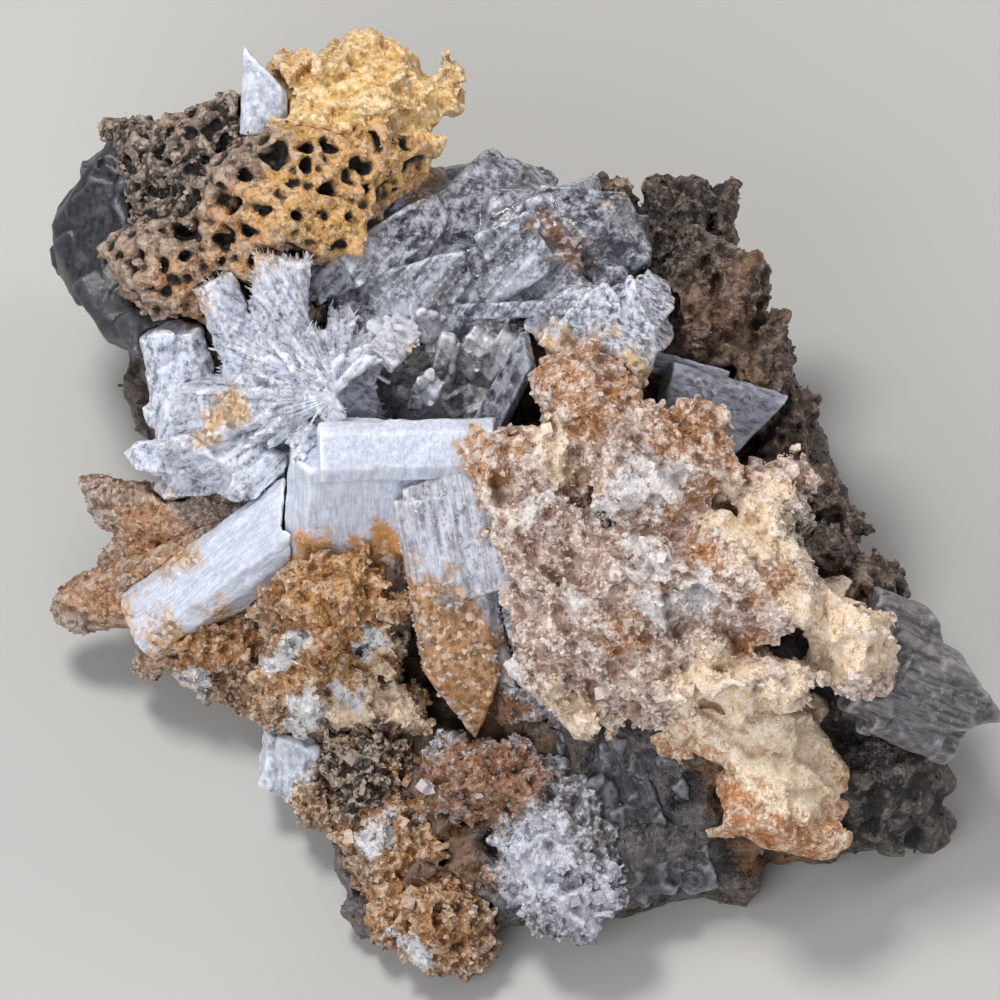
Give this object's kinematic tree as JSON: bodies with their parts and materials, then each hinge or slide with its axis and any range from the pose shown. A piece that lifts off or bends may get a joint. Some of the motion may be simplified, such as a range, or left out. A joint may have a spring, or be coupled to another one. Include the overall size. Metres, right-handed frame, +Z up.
{
  "type": "calcite cluster",
  "caption": "Hand specimen of pale tabular crystals around a clear hollow, on iron-stained rock crusted with rusty and cream druse.",
  "frame": {"origin": "middle of the flat broken base that the rock rests on", "axes": "+Z up from the base, +Y towards the back, +X to the right as seen from the front"},
  "size_m": [0.0956, 0.0874, 0.0477],
  "materials": {
    "frosted_crystal": "frosted, bluish white",
    "clear_crystal": "glassy, clear to milky",
    "grey_crystal": "silky, blue-grey",
    "stained_crystal": "sparkling, stained golden brown",
    "druse": "sparkling crust, rust and pink-brown",
    "cream_druse": "waxy crust, cream to orange",
    "dark_plates": "rough, dark brown",
    "iron_rock": "porous, brown-black with ochre"
  },
  "bodies": {
    "root": {"block_crystal": "frosted_crystal", "gold_blade_crystal": "stained_crystal", "left_blade_crystal": "frosted_crystal", "leaning_blade_crystal": "frosted_crystal", "left_stub_crystals": "frosted_crystal", "white_top_crystal": "frosted_crystal", "blue_slab_crystal": "grey_crystal", "grey_tip_crystal": "grey_crystal", "spray_crystals": "frosted_crystal", "right_clear_crystals": "clear_crystal", "back_clear_crystals": "clear_crystal", "hollow_crust": "clear_crystal", "brown_left_blades": "stained_crystal", "far_left_crystal": "grey_crystal", "grey_spur": "grey_crystal", "front_druse": "druse", "left_foot_druse": "druse", "right_druse": "druse", "cream_lobe": "cream_druse", "back_plates": "dark_plates", "right_plates": "dark_plates", "right_edge_druse": "druse", "lower_druse": "druse", "front_tip": "druse", "front_left_face": "grey_crystal", "matrix_rock": "iron_rock"}
  },
  "joints": []
}
